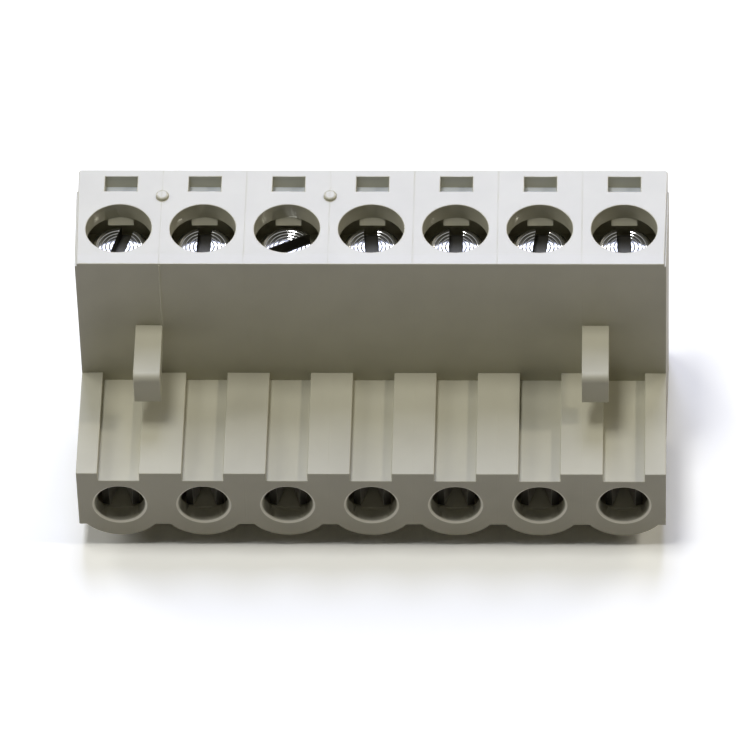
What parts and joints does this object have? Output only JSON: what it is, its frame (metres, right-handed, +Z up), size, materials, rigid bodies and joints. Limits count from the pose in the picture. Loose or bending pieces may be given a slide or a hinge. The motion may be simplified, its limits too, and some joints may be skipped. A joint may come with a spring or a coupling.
{
  "type": "pluggable terminal plug",
  "caption": "Pale grey pluggable terminal block with slotted clamp screws in wells on top, a ribbed nose with round pin sockets in front, latch fingers, and wire mouths at the back.",
  "frame": {"origin": "middle of the bounding box at its bottom, in the plane of the tall block's underside", "axes": "+X along the row of poles, -Y out of the mating face, +Z up through the screws"},
  "size_m": [0.0358, 0.016, 0.0164],
  "materials": {
    "polyamide": "matte",
    "zinc_steel": "turned",
    "nickel_brass": "plated",
    "tin_bronze": "plated"
  },
  "bodies": {
    "housing": {"housing": "polyamide", "contact_1": "tin_bronze", "contact_2": "tin_bronze", "contact_3": "tin_bronze", "contact_4": "tin_bronze", "contact_5": "tin_bronze", "contact_6": "tin_bronze", "contact_7": "tin_bronze"},
    "screw_1": {"screw_1": "zinc_steel"},
    "clamp_1": {"clamp_1": "nickel_brass"},
    "screw_2": {"screw_2": "zinc_steel"},
    "clamp_2": {"clamp_2": "nickel_brass"},
    "screw_3": {"screw_3": "zinc_steel"},
    "clamp_3": {"clamp_3": "nickel_brass"},
    "screw_4": {"screw_4": "zinc_steel"},
    "clamp_4": {"clamp_4": "nickel_brass"},
    "screw_5": {"screw_5": "zinc_steel"},
    "clamp_5": {"clamp_5": "nickel_brass"},
    "screw_6": {"screw_6": "zinc_steel"},
    "clamp_6": {"clamp_6": "nickel_brass"},
    "screw_7": {"screw_7": "zinc_steel"},
    "clamp_7": {"clamp_7": "nickel_brass"}
  },
  "joints": [
    {"name": "screw_1_turn", "type": "hinge", "parent": "housing", "child": "screw_1", "pos_m": [-0.01524, 0.00314, 0.01458], "axis": [0, 0, 1], "range_deg": [-1800, 0]},
    {"name": "clamp_1_lift", "type": "slide", "parent": "housing", "child": "clamp_1", "axis": [0, 0, 1], "range_m": [0, 0.0025]},
    {"name": "screw_2_turn", "type": "hinge", "parent": "housing", "child": "screw_2", "pos_m": [-0.01016, 0.00314, 0.01458], "axis": [0, 0, 1], "range_deg": [-1800, 0]},
    {"name": "clamp_2_lift", "type": "slide", "parent": "housing", "child": "clamp_2", "axis": [0, 0, 1], "range_m": [0, 0.0025]},
    {"name": "screw_3_turn", "type": "hinge", "parent": "housing", "child": "screw_3", "pos_m": [-0.00508, 0.00314, 0.01458], "axis": [0, 0, 1], "range_deg": [-1800, 0]},
    {"name": "clamp_3_lift", "type": "slide", "parent": "housing", "child": "clamp_3", "axis": [0, 0, 1], "range_m": [0, 0.0025]},
    {"name": "screw_4_turn", "type": "hinge", "parent": "housing", "child": "screw_4", "pos_m": [0, 0.00314, 0.01458], "axis": [0, 0, 1], "range_deg": [-1800, 0]},
    {"name": "clamp_4_lift", "type": "slide", "parent": "housing", "child": "clamp_4", "axis": [0, 0, 1], "range_m": [0, 0.0025]},
    {"name": "screw_5_turn", "type": "hinge", "parent": "housing", "child": "screw_5", "pos_m": [0.00508, 0.00314, 0.01458], "axis": [0, 0, 1], "range_deg": [-1800, 0]},
    {"name": "clamp_5_lift", "type": "slide", "parent": "housing", "child": "clamp_5", "axis": [0, 0, 1], "range_m": [0, 0.0025]},
    {"name": "screw_6_turn", "type": "hinge", "parent": "housing", "child": "screw_6", "pos_m": [0.01016, 0.00314, 0.01458], "axis": [0, 0, 1], "range_deg": [-1800, 0]},
    {"name": "clamp_6_lift", "type": "slide", "parent": "housing", "child": "clamp_6", "axis": [0, 0, 1], "range_m": [0, 0.0025]},
    {"name": "screw_7_turn", "type": "hinge", "parent": "housing", "child": "screw_7", "pos_m": [0.01524, 0.00314, 0.01458], "axis": [0, 0, 1], "range_deg": [-1800, 0]},
    {"name": "clamp_7_lift", "type": "slide", "parent": "housing", "child": "clamp_7", "axis": [0, 0, 1], "range_m": [0, 0.0025]}
  ],
  "couplings": [
    {"joint": "screw_1_turn", "follows": "clamp_1_lift", "rad_per_m": -12566},
    {"joint": "screw_2_turn", "follows": "clamp_2_lift", "rad_per_m": -12566},
    {"joint": "screw_3_turn", "follows": "clamp_3_lift", "rad_per_m": -12566},
    {"joint": "screw_4_turn", "follows": "clamp_4_lift", "rad_per_m": -12566},
    {"joint": "screw_5_turn", "follows": "clamp_5_lift", "rad_per_m": -12566},
    {"joint": "screw_6_turn", "follows": "clamp_6_lift", "rad_per_m": -12566},
    {"joint": "screw_7_turn", "follows": "clamp_7_lift", "rad_per_m": -12566}
  ]
}
